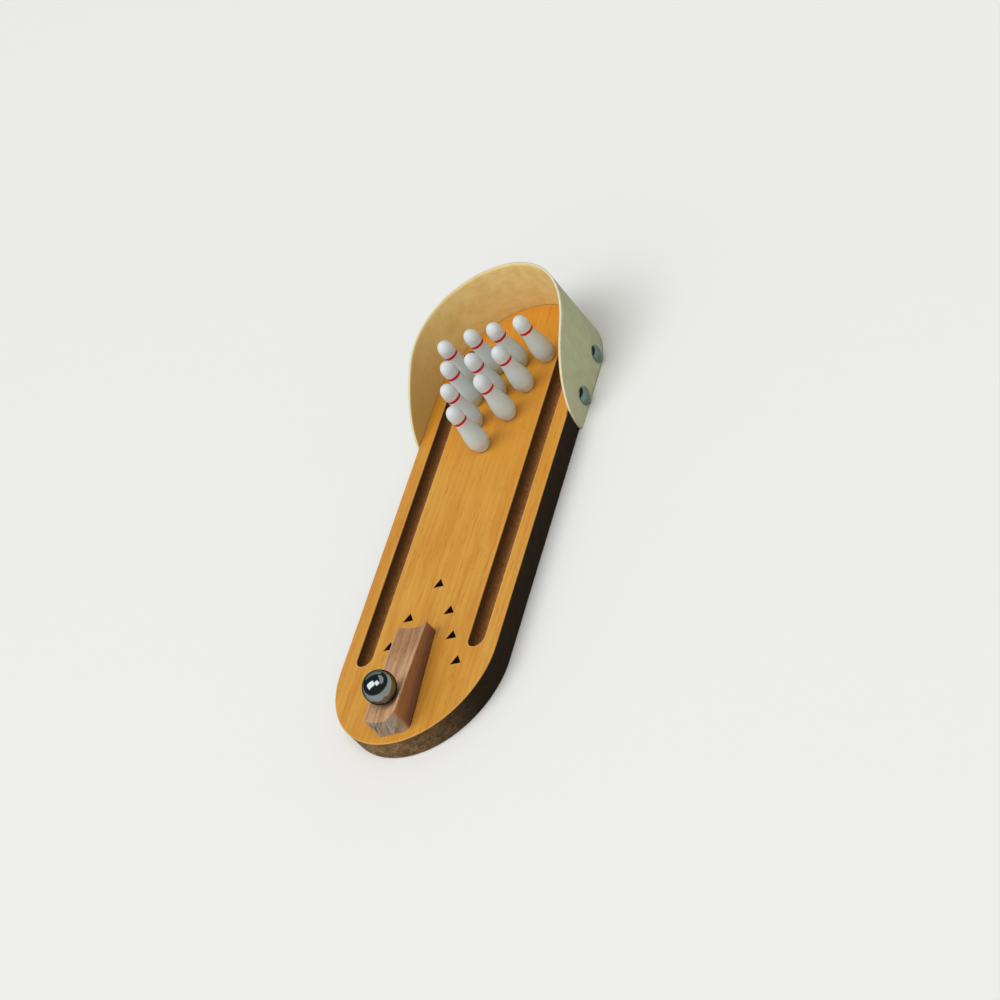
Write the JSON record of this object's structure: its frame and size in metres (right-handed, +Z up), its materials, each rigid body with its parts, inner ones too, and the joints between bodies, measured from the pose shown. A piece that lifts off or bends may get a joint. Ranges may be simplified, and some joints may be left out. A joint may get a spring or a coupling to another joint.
{
  "type": "tabletop bowling game",
  "caption": "Round-ended lane board with side gutters, a leather guard nailed round the rear end, white pins with a red band, a channelled wooden ramp and a steel ball.",
  "frame": {"origin": "centre of the board's flat underside", "axes": "+X to the player's right, +Y along the lane from the player to the pins, +Z up"},
  "size_m": [0.1078, 0.2916, 0.0465],
  "materials": {
    "core_fibreboard": "raw fibreboard edge, fine speckle",
    "lane_veneer": "varnished veneer with straight fine grain",
    "arrow_paint": "matt black marks",
    "guard_leather": "tan leather, pale cut edge",
    "nail_chrome": "polished domed heads",
    "pin_lacquer": "turned wood, white gloss lacquer with a red band at the neck",
    "ramp_walnut": "dark reddish brown hardwood, waxed",
    "ball_steel": "polished steel"
  },
  "bodies": {
    "board": {"board_core": "core_fibreboard", "lane_veneer": "lane_veneer", "lane_arrows": "arrow_paint", "guard": "guard_leather", "nail_front_left": "nail_chrome", "nail_front_right": "nail_chrome", "nail_rear_left": "nail_chrome", "nail_rear_right": "nail_chrome"},
    "pin_1": {"pin_1": "pin_lacquer"},
    "pin_2": {"pin_2": "pin_lacquer"},
    "pin_3": {"pin_3": "pin_lacquer"},
    "pin_4": {"pin_4": "pin_lacquer"},
    "pin_5": {"pin_5": "pin_lacquer"},
    "pin_6": {"pin_6": "pin_lacquer"},
    "pin_7": {"pin_7": "pin_lacquer"},
    "pin_8": {"pin_8": "pin_lacquer"},
    "pin_9": {"pin_9": "pin_lacquer"},
    "pin_10": {"pin_10": "pin_lacquer"},
    "ramp": {"ramp": "ramp_walnut"},
    "ball": {"ball": "ball_steel"}
  },
  "joints": [
    {"name": "pin_1_lift", "type": "slide", "parent": "board", "child": "pin_1", "axis": [0, 0, 1], "range_m": [0, 0.035]},
    {"name": "pin_2_lift", "type": "slide", "parent": "board", "child": "pin_2", "axis": [0, 0, 1], "range_m": [0, 0.035]},
    {"name": "pin_3_lift", "type": "slide", "parent": "board", "child": "pin_3", "axis": [0, 0, 1], "range_m": [0, 0.035]},
    {"name": "pin_4_lift", "type": "slide", "parent": "board", "child": "pin_4", "axis": [0, 0, 1], "range_m": [0, 0.035]},
    {"name": "pin_5_lift", "type": "slide", "parent": "board", "child": "pin_5", "axis": [0, 0, 1], "range_m": [0, 0.035]},
    {"name": "pin_6_lift", "type": "slide", "parent": "board", "child": "pin_6", "axis": [0, 0, 1], "range_m": [0, 0.035]},
    {"name": "pin_7_lift", "type": "slide", "parent": "board", "child": "pin_7", "axis": [0, 0, 1], "range_m": [0, 0.035]},
    {"name": "pin_8_lift", "type": "slide", "parent": "board", "child": "pin_8", "axis": [0, 0, 1], "range_m": [0, 0.035]},
    {"name": "pin_9_lift", "type": "slide", "parent": "board", "child": "pin_9", "axis": [0, 0, 1], "range_m": [0, 0.035]},
    {"name": "pin_10_lift", "type": "slide", "parent": "board", "child": "pin_10", "axis": [0, 0, 1], "range_m": [0, 0.035]},
    {"name": "ramp_aim", "type": "hinge", "parent": "board", "child": "ramp", "pos_m": [0.00076, -0.12484, 0.013], "axis": [0, 0, 1], "range_deg": [-12, 4]},
    {"name": "ball_roll", "type": "slide", "parent": "ramp", "child": "ball", "axis": [-0.0677, 0.9929, -0.0979], "range_m": [-0.01, 0.045]}
  ]
}
